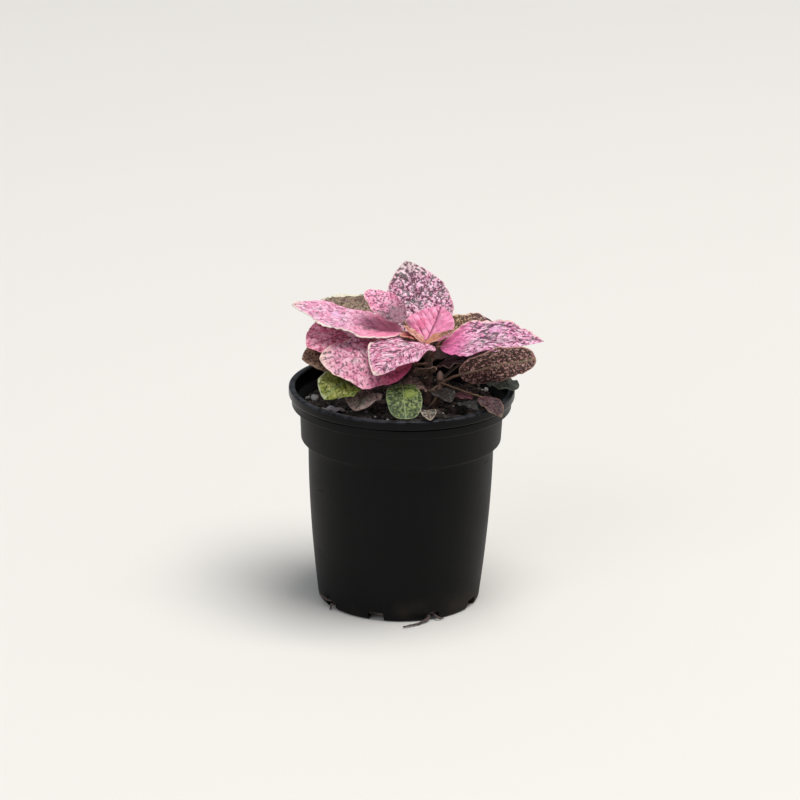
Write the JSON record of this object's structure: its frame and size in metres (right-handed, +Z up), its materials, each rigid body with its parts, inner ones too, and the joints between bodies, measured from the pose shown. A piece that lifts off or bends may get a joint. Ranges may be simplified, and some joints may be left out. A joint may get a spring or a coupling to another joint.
{
  "type": "potted polka dot plant",
  "caption": "Small potted foliage plant: pink leaves with dark speckles on thin stems in soil, in a black tapered nursery pot with a rolled rim and drain slots.",
  "frame": {"origin": "centre of the pot's flat underside, on the surface it stands on", "axes": "+Z up along the pot's axis; -Y is the plant's best side, where the two big front leaves face; +X to the right of that side"},
  "size_m": [0.1266, 0.1146, 0.1658],
  "materials": {
    "pot_plastic": "satin",
    "potting_soil": "matte",
    "stem": "matte",
    "root": "matte",
    "leaf_pink": "satin",
    "leaf_young": "satin",
    "leaf_crimson": "satin",
    "leaf_tan": "satin",
    "leaf_brown": "satin",
    "leaf_green": "satin",
    "leaf_grey": "satin",
    "leaf_dry": "satin"
  },
  "bodies": {
    "root": {"pot": "pot_plastic", "soil": "potting_soil", "stem_center": "stem", "stem_left": "stem", "stem_right": "stem", "stem_front": "stem", "stem_back": "stem", "leaf_top_back": "leaf_pink", "leaf_young": "leaf_young", "leaf_bud_left": "leaf_tan", "leaf_bud_low": "leaf_tan", "leaf_bud_right": "leaf_tan", "leaf_front_pink": "leaf_pink", "leaf_right": "leaf_pink", "leaf_left": "leaf_pink", "leaf_front_left": "leaf_pink", "leaf_right_behind": "leaf_tan", "leaf_back_small": "leaf_pink", "leaf_left_low": "leaf_crimson", "leaf_left_behind": "leaf_tan", "leaf_left_dark": "leaf_brown", "leaf_left_green": "leaf_green", "leaf_right_low": "leaf_tan", "leaf_rim_right": "leaf_grey", "leaf_rim_small": "leaf_crimson", "leaf_front_green": "leaf_green", "leaf_rim_front": "leaf_tan", "leaf_front_curled": "leaf_brown", "leaf_dry": "leaf_dry", "leaf_center_dark": "leaf_brown", "leaf_center_low": "leaf_crimson", "leaf_back_top": "leaf_pink", "leaf_back_right": "leaf_green", "leaf_back_left": "leaf_pink", "leaf_back_low": "leaf_green", "leaf_back_rim": "leaf_brown", "leaf_left_back": "leaf_green", "leaf_right_back": "leaf_brown", "leaf_left_inner": "leaf_brown", "leaf_back_inner": "leaf_green", "leaf_center_shade": "leaf_brown", "leaf_center_brown": "leaf_brown", "leaf_right_shade": "leaf_grey", "leaf_center_front": "leaf_brown", "root_front": "root", "root_front_short": "root", "root_left": "root", "root_left_short": "root"}
  },
  "joints": []
}
